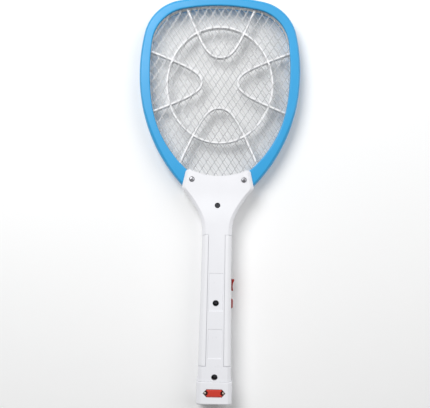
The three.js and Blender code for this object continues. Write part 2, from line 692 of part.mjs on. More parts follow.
add('rocker_housing', rockerHousing(), BLACK, 0.5);
const rockerMesh = add('rocker', rocker(), 0x96140f, 0.35);
rockerMesh.position.set(ROCKER.x, ROCKER.y, MID_Z);
rockerMesh.rotation.z = -THREE.MathUtils.degToRad(ROCKER.halfThrow);
for (const [name, y] of [['rocker_terminal_upper', 3.5], ['rocker_terminal_lower', -3.5]]) {
  const middle = ROCKER.y + y;
  add(name, box([3.4, middle - 0.4, 13], [ROCKER_HOUSING.inner - GAP, middle + 0.4, 17]), STEEL, 0.4, 1);
}
add('push_button', pushButton(), RED, 0.35);
add('tact_switch_body', tactSwitchBody(), BLACK, 0.5);
add('tact_plunger', rod('x', [BUTTON.y, MID_Z], 1.6, 8.3, BUTTON.flange[0] - GAP, 12), 0x303033, 0.5);

add('circuit_board', circuitBoard(), 0x2f6b3a, 0.5);
add('transformer_core', transformerCore(), 0x3b3b3e, 0.6);
add('transformer_winding', transformerWinding(), 0xb5701f, 0.5);
add('transistor', transistor(), BLACK, 0.5);
add('hv_capacitor', box([-10.4, -76, BOARD_TOP], [-3.8, -58, BOARD_TOP + 12]), 0x8a2f1d, 0.4);
add('dropper_capacitor', box([-10.4, -98, BOARD_TOP], [-4.6, -85, BOARD_TOP + 11]), 0xb98a2c, 0.4);
for (const [name, x, y] of [['bleed_resistor', 4.5, -52], ['base_resistor', 4.5, -56.5]]) {
  add(name, rod('x', [y, BOARD_TOP + 1.3], 1.2, x - 3.2, x + 3.2, 12), 0xc9b58a, 0.6);
}
const diodes = [['multiplier_diode_1', -62], ['multiplier_diode_2', -66.5], ['rectifier_diode', -71]];
for (const [name, y] of diodes) {
  add(name, rod('x', [y, BOARD_TOP + 1.5], 1.35, 1.6, 6.6, 12), BLACK, 0.5);
}
const lamps = [['ready_led', LED.readyY, 0xd7352a], ['charge_led', LED.chargeY, 0x49b04c]];
for (const [name, y, colour] of lamps) {
  add(name, rod('z', [LED.x, y], LED.radius, 0.4, BOARD.z - 0.2, 16), colour, 0.2);
}

add('battery_cradle', batteryCradle(), 0xe4e4e6, 0.5);
add('battery_cell', rod('y', [0, MID_Z], CELL.radius, CELL.from, CELL.to, 28), 0x3f7fb8, 0.4);
const tabs = [['battery_tab_plus', CELL.to + GAP], ['battery_tab_minus', CELL.from - GAP - 0.4]];
for (const [name, y] of tabs) {
  add(name, box([-2.5, y, 10], [2.5, y + 0.4, 20]), STEEL, 0.4, 1);
}

const leadTop = BOARD_TOP + 0.9;
add('battery_lead_red', wire([
  [1.5, -130.5, 18], [3, -127, 15], [4.5, -123, 12], [6, -117, leadTop],
]), RED, 0.5);
add('battery_lead_black', wire([
  [1.5, -183.7, 18], [7, -184.6, 20], [11, -178, 20.6], [11, -160, 20], [10.6, -140, 19],
  [9.6, -128, 13], [8.8, -117, leadTop],
]), BLACK, 0.5);
for (const [name, x, colour] of [['grid_lead', -LEAD_X, RED], ['guard_lead', LEAD_X, BLACK]]) {
  add(name, wire([
    [x, -26, leadTop], [x, -18, 11], [x, -8, 13.5], [x, 2, MID_Z], [x, 17.9, MID_Z],
  ]), colour, 0.5);
}

export default swatter;
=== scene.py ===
import json
import math

import bmesh
import bpy
import numpy as np
from mathutils import Matrix, Vector


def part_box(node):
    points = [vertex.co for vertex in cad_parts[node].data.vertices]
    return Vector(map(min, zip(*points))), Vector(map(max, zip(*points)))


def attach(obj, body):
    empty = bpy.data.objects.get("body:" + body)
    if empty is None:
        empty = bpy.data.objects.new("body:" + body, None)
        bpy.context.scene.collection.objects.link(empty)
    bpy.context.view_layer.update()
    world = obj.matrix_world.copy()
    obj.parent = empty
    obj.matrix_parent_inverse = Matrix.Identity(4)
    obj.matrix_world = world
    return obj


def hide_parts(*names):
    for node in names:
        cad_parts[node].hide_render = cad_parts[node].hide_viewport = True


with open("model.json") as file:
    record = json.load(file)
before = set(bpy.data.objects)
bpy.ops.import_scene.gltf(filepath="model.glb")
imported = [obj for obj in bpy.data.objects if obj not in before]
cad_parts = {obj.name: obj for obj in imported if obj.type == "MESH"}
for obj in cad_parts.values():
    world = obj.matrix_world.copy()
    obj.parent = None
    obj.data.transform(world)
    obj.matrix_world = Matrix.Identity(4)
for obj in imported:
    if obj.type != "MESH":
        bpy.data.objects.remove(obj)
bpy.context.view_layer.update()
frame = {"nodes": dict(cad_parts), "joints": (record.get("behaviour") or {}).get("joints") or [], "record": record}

# A rechargeable electric fly swatter, lying on its front face on a pale table.
# Metres, +Z up, +Y towards the head, +X towards the switches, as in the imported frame.
# Lengths below are written in millimetres and scaled by MM where a mesh is made.
MM = 0.001

# ---------------------------------------- sizes shared with the frame
MID_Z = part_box("centre_grid")[0].z * 500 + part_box("centre_grid")[1].z * 500
CAP_LOW, CAP_HIGH = [corner * 1000 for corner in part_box("tail_cap")]
RING_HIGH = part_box("back_frame_ring")[1] * 1000
CASE_LOW, CASE_HIGH = [corner * 1000 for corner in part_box("back_shell")]
GRIP_LOW, GRIP_HIGH = [corner * 1000 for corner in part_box("right_grip_strip")]

PARTING_GAP = 0.1
FRAME_ARCS = [(224, 12), (46.5, 65), (192, 19.5), (174, 39)]  # (radius, degrees turned)
OPENING_ARCS = [(207, 11.3), (41.8, 71.5), (242, 15.8), (117, 40.5)]
FRAME_TOP = RING_HIGH.y
OPENING_TOP = FRAME_TOP - 10.6
FRAME_DEPTH = RING_HIGH.z - MID_Z
LIP = 3.5
REBATE = 3.0

HANDLE_DEPTH = CASE_HIGH.z - MID_Z
SHOULDER_DEPTH = 13
SHOULDER_RAMP = (-25, 10)
SHOULDER_TOP = 33.8
SCOOP_RADIUS = 74
SCOOP_LOW = 27


# ---------------------------------------- mesh helpers
def new_object(name, mesh):
    piece = bpy.data.objects.new(name, mesh)
    bpy.context.scene.collection.objects.link(piece)
    return piece


def mesh_object(name, points, faces):
    """A piece from points in millimetres, with its faces turned outwards."""
    mesh = bpy.data.meshes.new(name)
    mesh.from_pydata([tuple(c * MM for c in p) for p in points], [], faces)
    work = bmesh.new()
    work.from_mesh(mesh)
    bmesh.ops.remove_doubles(work, verts=work.verts, dist=1e-7)
    bmesh.ops.recalc_face_normals(work, faces=work.faces)
    work.to_mesh(mesh)
    work.free()
    return new_object(name, mesh)


def smooth(piece, angle=35):
    """Smooth shading, with edges sharper than the angle kept crisp."""
    piece.data.polygons.foreach_set("use_smooth", [True] * len(piece.data.polygons))
    piece.data.set_sharp_from_angle(angle=math.radians(angle))
    step = piece.modifiers.new("weighted", "WEIGHTED_NORMAL")
    step.keep_sharp = True
    step.mode = "FACE_AREA"
    return piece


def bake_modifiers(piece):
    """Replaces the mesh by what its modifiers make of it."""
    bpy.context.view_layer.update()
    evaluated = piece.evaluated_get(bpy.context.evaluated_depsgraph_get())
    mesh = bpy.data.meshes.new_from_object(evaluated)
    piece.modifiers.clear()
    piece.data = mesh
    mesh.name = piece.name
    return piece


def combine(piece, tools, operation="DIFFERENCE"):
    """Cuts the tools out of a piece, or joins them to it, and deletes them."""
    for tool in tools:
        step = piece.modifiers.new("boolean", "BOOLEAN")
        step.operation = operation
        step.solver = "MANIFOLD"
        step.object = tool
    bake_modifiers(piece)
    for tool in tools:
        bpy.data.objects.remove(tool)
    return piece


def bevel(piece, width, segments=2, angle=35):
    step = piece.modifiers.new("bevel", "BEVEL")
    step.width = width * MM
    step.segments = segments
    step.limit_method = "ANGLE"
    step.angle_limit = math.radians(angle)
    step.harden_normals = True
    step.use_clamp_overlap = True
    return piece


def grid_faces(rows, columns, wrap_rows=False, wrap_columns=True):
    """Quads between rows of points, each row as long as the next."""
    faces = []
    for i in range(rows if wrap_rows else rows - 1):
        for j in range(columns if wrap_columns else columns - 1):
            a, b = i * columns, (i + 1) % rows * columns
            k = (j + 1) % columns
            faces.append((a + j, a + k, b + k, b + j))
    return faces


def lofted(name, loops, closed=False):
    """A body through closed loops of points: capped at both ends, or joined end to end."""
    count = len(loops[0])
    faces = grid_faces(len(loops), count, wrap_rows=closed)
    if not closed:
        faces.append(tuple(range(count)))
        faces.append(tuple(range((len(loops) - 1) * count, len(loops) * count)))
    return mesh_object(name, [p for loop in loops for p in loop], faces)


def turned(name, profile, centre, axis="z", sides=48):
    """A body of revolution from (radius, distance along) pairs that start and end on the axis."""
    loops = []
    for radius, along in profile[1:-1]:
        loop = []
        for k in range(sides):
            a = 2 * math.pi * k / sides
            across, up = radius * math.cos(a), radius * math.sin(a)
            turned_to = {"z": (across, up, along), "x": (along, across, up), "y": (up, along, across)}
            loop.append(turned_to[axis])
        loops.append([tuple(Vector(p) + Vector(centre)) for p in loop])
    return lofted(name, loops)


def block(name, low, high, radius=0.0, steps=4, axis="z"):
    """A box from corner to corner, with the four edges along one axis rounded."""
    order = {"z": (0, 1, 2), "x": (1, 2, 0), "y": (2, 0, 1)}[axis]
    u, v, w = order
    outline = rounded_rectangle(low[u], low[v], high[u], high[v], radius, steps)
    loops = []
    for level in (low[w], high[w]):
        loop = []
        for p, q in outline:
            point = [0, 0, 0]
            point[u], point[v], point[w] = p, q, level
            loop.append(tuple(point))
        loops.append(loop)
    return lofted(name, loops)


def prism(name, outline, low, high):
    return lofted(name, [[(x, y, low) for x, y in outline], [(x, y, high) for x, y in outline]])


def rounded_rectangle(x0, y0, x1, y1, radius, steps=4):
    if radius <= 0:
        return [(x0, y0), (x1, y0), (x1, y1), (x0, y1)]
    points = []
    corners = [(x1 - radius, y0 + radius, -90), (x1 - radius, y1 - radius, 0),
               (x0 + radius, y1 - radius, 90), (x0 + radius, y0 + radius, 180)]
    for cx, cy, start in corners:
        for k in range(steps + 1):
            a = math.radians(start + 90 * k / steps)
            points.append((cx + radius * math.cos(a), cy + radius * math.sin(a)))
    return points


def spline(points, steps):
    """A smooth curve through points, in the plane or in space."""
    knots = [np.array(p, float) for p in points]
    knots = [2 * knots[0] - knots[1], *knots, 2 * knots[-1] - knots[-2]]
    curve = []
    for i in range(1, len(knots) - 2):
        a, b, c, d = knots[i - 1:i + 3]
        for k in range(steps):
            t = k / steps
            curve.append(0.5 * (2 * b + (c - a) * t + (2 * a - 5 * b + 4 * c - d) * t ** 2
                                + (3 * b - a - 3 * c + d) * t ** 3))
    curve.append(knots[-2])
    return curve


def bezier(a, b, c, d, steps):
    a, b, c, d = (np.array(p, float) for p in (a, b, c, d))
    ts = [k / steps for k in range(steps + 1)]
    return [a * (1 - t) ** 3 + 3 * b * t * (1 - t) ** 2 + 3 * c * t ** 2 * (1 - t) + d * t ** 3
            for t in ts]


# ---------------------------------------- procedural materials
class Recipe:
    """A material's node tree, with short ways to add what these materials share."""

    def __init__(self, name):
        self.material = bpy.data.materials.new(name)
        self.material.use_nodes = True
        self.nodes = self.material.node_tree.nodes
        self.links = self.material.node_tree.links
        self.shader = self.nodes["Principled BSDF"]
        self.place = self.nodes.new("ShaderNodeTexCoord").outputs["Object"]

    def add(self, kind, **inputs):
        node = self.nodes.new(kind)
        for key, value in inputs.items():
            socket = node.inputs[key.replace("_", " ")]
            if isinstance(value, bpy.types.NodeSocket):
                self.links.new(value, socket)
            else:
                socket.default_value = value
        return node

    def stretched(self, x, y, z):
        mapping = self.add("ShaderNodeMapping", Vector=self.place)
        mapping.inputs["Scale"].default_value = (x, y, z)
        return mapping.outputs["Vector"]

    def noise(self, scale, detail=3.0, roughness=0.55, place=None):
        node = self.add("ShaderNodeTexNoise", Vector=place or self.place, Scale=scale,
                        Detail=detail, Roughness=roughness)
        return node.outputs["Fac"]

    def ramp(self, factor, stops):
        node = self.add("ShaderNodeValToRGB", Fac=factor)
        elements = node.color_ramp.elements
        while len(elements) < len(stops):
            elements.new(0.5)
        for element, (position, colour) in zip(elements, stops):
            element.position = position
            element.color = (*colour, 1) if len(colour) == 3 else colour
        return node.outputs["Color"]

    def spread(self, factor, low, high, from_low=0.3, from_high=0.7):
        node = self.add("ShaderNodeMapRange", Value=factor)
        node.inputs["From Min"].default_value = from_low
        node.inputs["From Max"].default_value = from_high
        node.inputs["To Min"].default_value = low
        node.inputs["To Max"].default_value = high
        return node.outputs["Result"]

    def bump(self, height, depth, strength=1.0, under=None):
        node = self.add("ShaderNodeBump", Height=height, Distance=depth, Strength=strength)
        if under is not None:
            self.links.new(under, node.inputs["Normal"])
        return node.outputs["Normal"]

    def finish(self, colour=None, roughness=None, normal=None, **constants):
        for key, value in constants.items():
            self.shader.inputs[key.replace("_", " ")].default_value = value
        for socket, value in (("Base Color", colour), ("Roughness", roughness), ("Normal", normal)):
            if value is not None:
                self.links.new(value, self.shader.inputs[socket])
        return self.material


def tint(colour, factor):
    return tuple(min(1.0, c * factor) for c in colour)


def moulded(name, colour, rough=0.34, grain=0.00002, grain_scale=2600.0, waviness=0.00003, variation=0.03,
            coat=0.0):
    """Injection-moulded plastic: faint clouding, a fine spark-eroded grain and a slow wave."""
    r = Recipe(name)
    cloud = r.noise(14, 4, 0.5)
    shade = r.ramp(cloud, [(0.3, tint(colour, 1 - variation)), (0.7, tint(colour, 1 + variation * 0.5))])
    fine = r.noise(grain_scale, 2, 0.6)
    smear = r.noise(60, 5, 0.65)
    wave = r.bump(r.noise(35, 2, 0.4), waviness)
    return r.finish(
        colour=shade,
        roughness=r.spread(smear, rough - 0.04, rough + 0.07),
        normal=r.bump(fine, grain, 1.0, wave),
        Specular_IOR_Level=0.5, IOR=1.47, Coat_Weight=coat, Coat_Roughness=0.12,
    )


def textured(name, colour, rough=0.5):
    """Moulded plastic with a stippled, leather-like grain, for the parts that are held."""
    r = Recipe(name)
    cells = r.add("ShaderNodeTexVoronoi", Vector=r.place, Scale=1500.0)
    cloud = r.noise(18, 4, 0.5)
    shade = r.ramp(cloud, [(0.3, tint(colour, 0.97)), (0.7, tint(colour, 1.01))])
    under = r.bump(r.noise(30, 2, 0.4), 0.00003)
    return r.finish(
        colour=shade,
        roughness=r.spread(r.noise(70, 5, 0.6), rough - 0.05, rough + 0.08),
        normal=r.bump(cells.outputs["Distance"], 0.00003, 0.7, under),
        Specular_IOR_Level=0.45, IOR=1.48,
    )


def metal(name, colour, rough=0.3, streaks=(400, 30, 400), streak_depth=0.000006, variation=0.12,
          polish=1.0):
    """Drawn or rolled metal: streaks, dull patches and fine scratches. polish is how far it mirrors."""
    r = Recipe(name)
    drawn = r.noise(1.0, 4, 0.6, r.stretched(*streaks))
    patches = r.noise(90, 5, 0.6)
    shade = r.ramp(patches, [(0.25, tint(colour, 1 - variation)),
                             (0.75, tint(colour, 1 + variation * 0.4))])
    return r.finish(
        colour=shade,
        roughness=r.spread(patches, rough - 0.08, rough + 0.14),
        normal=r.bump(drawn, streak_depth),
        Metallic=polish,
    )


def fibre_board(name):
    """Green solder mask over woven glass, with lighter copper tracks under it."""
    r = Recipe(name)
    weave = r.add("ShaderNodeTexWave", Vector=r.place, Scale=900.0, Distortion=1.0)
    tracks = r.add("ShaderNodeTexBrick", Vector=r.stretched(260, 260, 260))
    tracks.inputs["Color1"].default_value = (0.03, 0.17, 0.07, 1)
    tracks.inputs["Color2"].default_value = (0.05, 0.22, 0.10, 1)
    tracks.inputs["Mortar"].default_value = (0.02, 0.12, 0.05, 1)
    return r.finish(
        colour=tracks.outputs["Color"],
        roughness=r.spread(r.noise(200), 0.3, 0.45),
        normal=r.bump(weave.outputs["Fac"], 0.00002),
    )


def wound(name, colour):
    """Lacquered wire turns under tape: close parallel ridges, with painted shade in the grooves and a painted
    highlight on the ridges.
    """
    r = Recipe(name)
    turns = r.add("ShaderNodeTexWave", Vector=r.place, Scale=1400.0, Distortion=0.6)
    # The colour follows the ridges' bump wave: painted shade in the grooves between turns, painted highlight on
    # their tops.
    shade = r.ramp(turns.outputs["Fac"], [(0.2, tint(colour, 0.6)), (0.8, tint(colour, 1.1))])
    return r.finish(colour=shade, roughness=r.spread(r.noise(300), 0.3, 0.5),
                    normal=r.bump(turns.outputs["Fac"], 0.00008))


def lens(name, colour):
    """Tinted clear plastic with a little haze inside."""
    r = Recipe(name)
    haze = r.noise(700, 3, 0.5)
    shade = r.ramp(haze, [(0.3, tint(colour, 0.8)), (0.7, tint(colour, 1.15))])
    return r.finish(colour=shade, roughness=r.spread(haze, 0.06, 0.16),
                    Transmission_Weight=0.5, IOR=1.49)


WHITE = (0.87, 0.875, 0.91)
GRIP_WHITE = (0.875, 0.88, 0.91)
BLUE = (0.026, 0.35, 0.70)
MATERIALS = {
    "casing_white": moulded("casing_white", WHITE, 0.30),
    "grip_white": textured("grip_white", GRIP_WHITE, 0.46),
    "frame_blue": moulded("frame_blue", BLUE, 0.36, variation=0.05),
    "spacer_white": moulded("spacer_white", (0.88, 0.885, 0.90), 0.38),
    "mesh_metal": metal("mesh_metal", (0.48, 0.488, 0.496), 0.50, polish=0.55),
    # screw_steel and screw_bright are one steel. screw_steel's far darker colour is painted shade for the screws
    # sunk in the handle's deeper wells.
    "screw_steel": metal("screw_steel", (0.13, 0.13, 0.145), 0.34, (900, 900, 900)),
    "screw_bright": metal("screw_bright", (0.46, 0.46, 0.49), 0.26, (900, 900, 900)),
    "plug_red": moulded("plug_red", (0.62, 0.047, 0.028), 0.40, variation=0.06),
    "control_red": moulded("control_red", (0.40, 0.012, 0.007), 0.36, variation=0.06),
    "pin_brass": metal("pin_brass", (0.52, 0.47, 0.40), 0.2, (900, 900, 60)),
    "contact_brass": metal("contact_brass", (0.72, 0.52, 0.22), 0.28, (900, 900, 60)),
    "black_plastic": moulded("black_plastic", (0.018, 0.018, 0.02), 0.42, variation=0.15),
    "terminal_steel": metal("terminal_steel", (0.62, 0.62, 0.60), 0.32),
    "board_green": fibre_board("board_green"),
    "core_ferrite": moulded("core_ferrite", (0.035, 0.035, 0.04), 0.55, 0.00008, 900.0, variation=0.2),
    "winding_tape": wound("winding_tape", (0.62, 0.38, 0.07)),
    "capacitor_red": moulded("capacitor_red", (0.30, 0.04, 0.02), 0.3, 0.00004, 700.0, variation=0.1),
    "capacitor_ochre": moulded("capacitor_ochre", (0.48, 0.27, 0.05), 0.3, 0.00004, 700.0,
                               variation=0.1),
    "component_black": moulded("component_black", (0.015, 0.015, 0.017), 0.4, 0.00003, 1500.0,
                               variation=0.2),
    "resistor_beige": moulded("resistor_beige", (0.55, 0.42, 0.24), 0.5, 0.00003, 1500.0, variation=0.1),
    "ready_lens": lens("ready_lens", (0.75, 0.03, 0.02)),
    "charge_lens": lens("charge_lens", (0.05, 0.55, 0.08)),
    "cell_sleeve": moulded("cell_sleeve", (0.03, 0.16, 0.42), 0.25, variation=0.08, coat=0.3),
    "cradle_white": moulded("cradle_white", (0.72, 0.72, 0.74), 0.5),
    "wire_red": moulded("wire_red", (0.45, 0.02, 0.015), 0.45, variation=0.1),
    "wire_black": moulded("wire_black", (0.012, 0.012, 0.013), 0.45, variation=0.2),
}


def place(piece, slot, *nodes, body="casing", finish=None):
    """Gives a finished piece its material and its body, and hides the CAD nodes it stands for."""
    piece.data.materials.clear()
    piece.data.materials.append(MATERIALS[finish or slot])
    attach(piece, body)
    if nodes:
        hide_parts(*nodes)
    return piece


# ---------------------------------------- camera, light and table
EYE_HEIGHT = 740 + MID_Z
EYE_X, EYE_Y = -2.74, -3.2
FRAME_WIDTH = 468.7  # what the picture's width takes in at the parting plane
ROLL = 1.06


def make_camera():
    data = bpy.data.cameras.new("camera")
    data.sensor_width = 36
    data.lens = 36 * (EYE_HEIGHT - MID_Z) / FRAME_WIDTH
    data.clip_start = 0.05
    data.clip_end = 20
    camera = bpy.data.objects.new("camera", data)
    bpy.context.scene.collection.objects.link(camera)
    camera.location = (EYE_X * MM, EYE_Y * MM, EYE_HEIGHT * MM)
    camera.rotation_euler = (0, 0, math.radians(ROLL))
    bpy.context.scene.camera = camera


def area_light(name, location, target, size, power, colour=(1, 1, 1)):
    data = bpy.data.lights.new(name, "AREA")
    data.shape = "DISK"
    data.size = size
    data.energy = power
    data.color = colour
    light = bpy.data.objects.new(name, data)
    bpy.context.scene.collection.objects.link(light)
    light.location = location
    light.rotation_euler = (Vector(target) - Vector(location)).to_track_quat("-Z", "Y").to_euler()
    return light


TABLE_SIZE = 3.0


def make_stage():
    bpy.ops.mesh.primitive_plane_add(size=TABLE_SIZE, location=(0, 0, 0))
    floor = bpy.context.object
    floor.name = "table"
    r = Recipe("table_white")
    shade = r.ramp(r.noise(3, 3), [(0.3, (0.94, 0.945, 0.945)), (0.7, (0.96, 0.96, 0.96))])
    floor.data.materials.append(r.finish(colour=shade, roughness=r.spread(r.noise(40), 0.55, 0.7)))
    world = bpy.data.worlds.new("studio")
    bpy.context.scene.world = world
    world.use_nodes = True
    sky = world.node_tree.nodes["Background"]
    sky.inputs["Color"].default_value = (1.0, 1.0, 1.0, 1)
    sky.inputs["Strength"].default_value = 0.218
    area_light("key", (-0.45, 0.59, 1.1), (0, 0, 0), 0.75, 13.3)
    area_light("fill", (0.8, 0.45, 1.0), (0, 0, 0), 1.2, 7.0)
    bpy.context.scene.view_settings.view_transform = "Standard"


# ---------------------------------------- head outlines
def arc_chain(top, arcs, steps):
    """Points down the right side of tangent arcs that start level at (0, top)."""
    points, heading = [(0.0, top)], 0.0
    for (radius, degrees), count in zip(arcs, steps):
        x, y = points[-1]
        cx, cy = x - radius * math.sin(heading), y - radius * math.cos(heading)
        for k in range(1, count + 1):
            a = heading + math.radians(degrees) * k / count
            points.append((cx + radius * math.sin(a), cy + radius * math.cos(a)))
        heading += math.radians(degrees)
    return points, heading


ARC_STEPS = [8, 26, 14, 22]
CLOSING_STEPS = 12


def frame_half():
    """Down the frame's outside, then level across to the axis inside the shoulder."""
    points, _ = arc_chain(FRAME_TOP, FRAME_ARCS, ARC_STEPS)
    x, y = points[-1]
    points += [(x * (1 - k / CLOSING_STEPS), y) for k in range(1, CLOSING_STEPS + 1)]
    return points


def opening_half():
    """Down the opening's edge, closed by one more arc."""
    points, heading = arc_chain(OPENING_TOP, OPENING_ARCS, ARC_STEPS)
    last = (points[-1][0] / math.sin(heading), 180 - math.degrees(heading))
    return arc_chain(OPENING_TOP, [*OPENING_ARCS, last], [*ARC_STEPS, CLOSING_STEPS])[0]


def both_sides(half):
    return [*half, *[(-x, y) for x, y in reversed(half[1:-1])]]


FRAME_LOOP = both_sides(frame_half())
OPENING_LOOP = both_sides(opening_half())


def offset_loop(loop, distance):
    """A closed clockwise loop moved outwards."""
    moved = []
    for i, (x, y) in enumerate(loop):
        (ax, ay), (bx, by) = loop[i - 1], loop[(i + 1) % len(loop)]
        length = math.hypot(bx - ax, by - ay)
        moved.append((x - (by - ay) / length * distance, y + (bx - ax) / length * distance))
    return moved


def inside(loop, x, y):
    """Whether a point lies inside a closed loop."""
    hit = False
    for i, (bx, by) in enumerate(loop):
        ax, ay = loop[i - 1]
        if (ay > y) != (by > y) and x < (bx - ax) * (y - ay) / (by - ay) + ax:
            hit = not hit
    return hit


# ---------------------------------------- head frame
def frame_section():
    """One moulded half's section: (edge it is measured from, distance in from it, height)."""
    lip, top = FRAME_DEPTH - LIP, FRAME_DEPTH
    return [
        ("opening", 0.0, lip + 0.25), ("opening", 0.0, top - 1.3), ("opening", 0.12, top - 0.75),
        ("opening", 0.42, top - 0.32), ("opening", 0.9, top - 0.08), ("opening", 1.6, top),
        ("frame", 4.2, top), ("frame", 3.5, top - 0.03), ("frame", 3.1, top - 0.2),
        ("frame", 2.1, top - 0.95), ("frame", 1.2, top - 1.95), ("frame", 0.5, top - 3.3),
        ("frame", 0.12, top - 4.8), ("frame", 0.0, top - 6.2), ("frame", 0.0, 0.55),
        ("frame", 0.1, 0.25), ("frame", 0.35, PARTING_GAP), ("frame", 2.0, PARTING_GAP),
        ("frame", 2.2, top - 3.6), ("frame", 3.4, top - 2.1), ("opening", 5.0, top - 2.1),
        ("opening", 5.0, PARTING_GAP), ("opening", REBATE, PARTING_GAP), ("opening", REBATE, lip),
        ("opening", 0.25, lip),
    ]


def make_frame_ring(name, side):
    loops = []
    for (ox, oy), (fx, fy) in zip(OPENING_LOOP, FRAME_LOOP):
        out = Vector((fx - ox, fy - oy)).normalized()
        loop = []
        for edge, distance, height in frame_section():
            from_opening = Vector((ox, oy)) + out * distance
            start = from_opening if edge == "opening" else Vector((fx, fy)) - out * distance
            loop.append((start.x, start.y, MID_Z + side * height))
        loops.append(loop)
    ring = lofted(name, loops, closed=True)
    return place(smooth(ring, 30), "frame_blue", name.replace("_shell", "_ring"))


# ---------------------------------------- meshes
DIAMOND_WIDTH = 8.9
DIAMOND_HEIGHT = 14.0
STRAND = 0.40
STRAND_THICKNESS = 0.36
STRAND_LEAN = 5  # degrees that a strand may turn about Y, either way
BOND = 1.7
BOND_RISE = 0.11  # how far neighbouring strands stand apart in height
SPAN = 170  # wider than the opening
RIM_WIDTH = 1.6
RIM_HALF = 0.3
SHEET_EDGE = 2.4  # how far a sheet runs under the lip


def strand_path(centre, lean, phase, low, high):
    """A zigzag along Y: short straight bonds, slanted runs. lean is the side of its first bond."""
    amplitude = DIAMOND_WIDTH / 4 - STRAND / 2
    points = []
    half = DIAMOND_HEIGHT / 2
    first = math.floor((low - phase) / half) - 1
    for k in range(first, first + int((high - low) / half) + 4):
        y = phase + k * half
        x = centre + amplitude * (lean if k % 2 == 0 else -lean)
        points += [(x, y - BOND / 2), (x, y + BOND / 2)]
    return points


def clipped(points, loop):
    """The stretch of a path inside a loop, ended on it by halving."""
    runs, run = [], []
    for a, b in zip(points, points[1:]):
        a_in, b_in = inside(loop, a[0], a[1]), inside(loop, b[0], b[1])
        if a_in and not run:
            run = [a]
        if a_in != b_in:
            near, far = (a, b) if a_in else (b, a)
            t0, t1 = 0.0, 1.0
            for _ in range(12):
                t = (t0 + t1) / 2
                p = tuple(n + (f - n) * t for n, f in zip(near, far))
                t0, t1 = (t, t1) if inside(loop, p[0], p[1]) else (t0, t)
            edge = tuple(n + (f - n) * t0 for n, f in zip(near, far))
            if a_in:
                run.append(edge)
                runs.append(run)
                run = []
            else:
                run = [edge]
        if b_in:
            run.append(b)
    if len(run) > 1:
        runs.append(run)
    return [r for r in runs if len(r) > 1]


def make_sheet(name, node, shift_x, shift_y, seed):
    """Expanded metal: zigzag strands that meet at bonds, and a rim pressed flat under the lip."""
    low, high = [corner * 1000 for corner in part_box(node)]
    chance = np.random.RandomState(seed)
    level = (low.z + high.z) / 2
    loop = offset_loop(OPENING_LOOP, SHEET_EDGE)
    points, faces = [], []
    count = int(SPAN / DIAMOND_WIDTH) * 2 + 2
    for s in range(-count // 2, count // 2 + 1):
        centre = (s + 0.5) * DIAMOND_WIDTH / 2 + shift_x
        path = strand_path(centre, 1 if s % 2 == 0 else -1, shift_y, low.y, high.y)
        rise = BOND_RISE if s % 2 == 0 else -BOND_RISE
        for run in clipped(path, loop):
            base = len(points)
            for i, (x, y) in enumerate(run):
                a, b = run[max(i - 1, 0)], run[min(i + 1, len(run) - 1)]
                along = Vector((b[0] - a[0], b[1] - a[1])).normalized()
                wide = STRAND / 2 / max(0.6, abs(along.y))
                lean = math.radians(chance.uniform(-STRAND_LEAN, STRAND_LEAN))
                middle = level + rise * (1 if i % 4 < 2 else -1)
                for sx, sz in ((-1, -1), (1, -1), (1, 1), (-1, 1)):
                    u, v = sx * wide, sz * STRAND_THICKNESS / 2
                    points.append((x + u * math.cos(lean) - v * math.sin(lean), y,
                                   middle + u * math.sin(lean) + v * math.cos(lean)))
            count_here = len(run)
            for i in range(count_here - 1):
                for j in range(4):
                    a, k = base + i * 4, (j + 1) % 4
                    faces.append((a + j, a + k, a + 4 + k, a + 4 + j))
            faces.append(tuple(base + j for j in range(4)))
            faces.append(tuple(base + (count_here - 1) * 4 + j for j in range(4)))
    rim_outer, rim_inner = loop, offset_loop(OPENING_LOOP, SHEET_EDGE - RIM_WIDTH)
    base, n = len(points), len(loop)
    for ring, z in ((rim_outer, -RIM_HALF), (rim_outer, RIM_HALF), (rim_inner, RIM_HALF),
                    (rim_inner, -RIM_HALF)):
        points += [(x, y, level + z) for x, y in ring]
    for i in range(4):
        for j in range(n):
            a, b, k = base + i * n, base + (i + 1) % 4 * n, (j + 1) % n
            faces.append((a + j, a + k, b + k, b + j))
    mesh = bpy.data.meshes.new(name)
    mesh.from_pydata([tuple(c * MM for c in p) for p in points], [], faces)
    sheet = new_object(name, mesh)
    work = bmesh.new()
    work.from_mesh(mesh)
    bmesh.ops.recalc_face_normals(work, faces=work.faces)
    work.to_mesh(mesh)
    work.free()
    return place(smooth(sheet, 40), "mesh_metal", node)


# ---------------------------------------- rib spacers
RIB_WIDTH = 2.0
RIB_RING = (126.1, 57.2, 62.8)  # centre Y, half width, half height
RIB_LIMBS = [
    ((0, 156.1), (14, 156.1), (19.5, 168), (37.4, 209.9)),
    ((0, 101.1), (14, 101.1), (21, 87), (42.1, 40.4)),
    ((19.6, 128.8), (19.6, 139), (33, 145.5), (77.2, 162)),
    ((19.6, 128.8), (19.6, 118.6), (33, 112.1), (73.8, 95.8)),
]


def bar_section(width, low, high, round_top):
    """A bar's section: a flat foot and a rounded top edge."""
    w, r = width / 2, round_top
    return [(-w, low), (w, low), (w, high - r), (w - r * 0.3, high - r * 0.3), (w - r, high),
            (-w + r, high), (-w + r * 0.3, high - r * 0.3), (-w, high - r)]


def swept_bar(name, path, width, low, high, closed=False, round_top=0.45):
    loops = []
    for i, point in enumerate(path):
        a = path[i - 1] if closed or i else path[0]
        b = path[(i + 1) % len(path)] if closed or i < len(path) - 1 else path[-1]
        side = Vector((b[1] - a[1], a[0] - b[0])).normalized()
        section = bar_section(width, low, high, round_top)
        loops.append([(point[0] + side.x * u, point[1] + side.y * u, z) for u, z in section])
    return lofted(name, loops, closed)


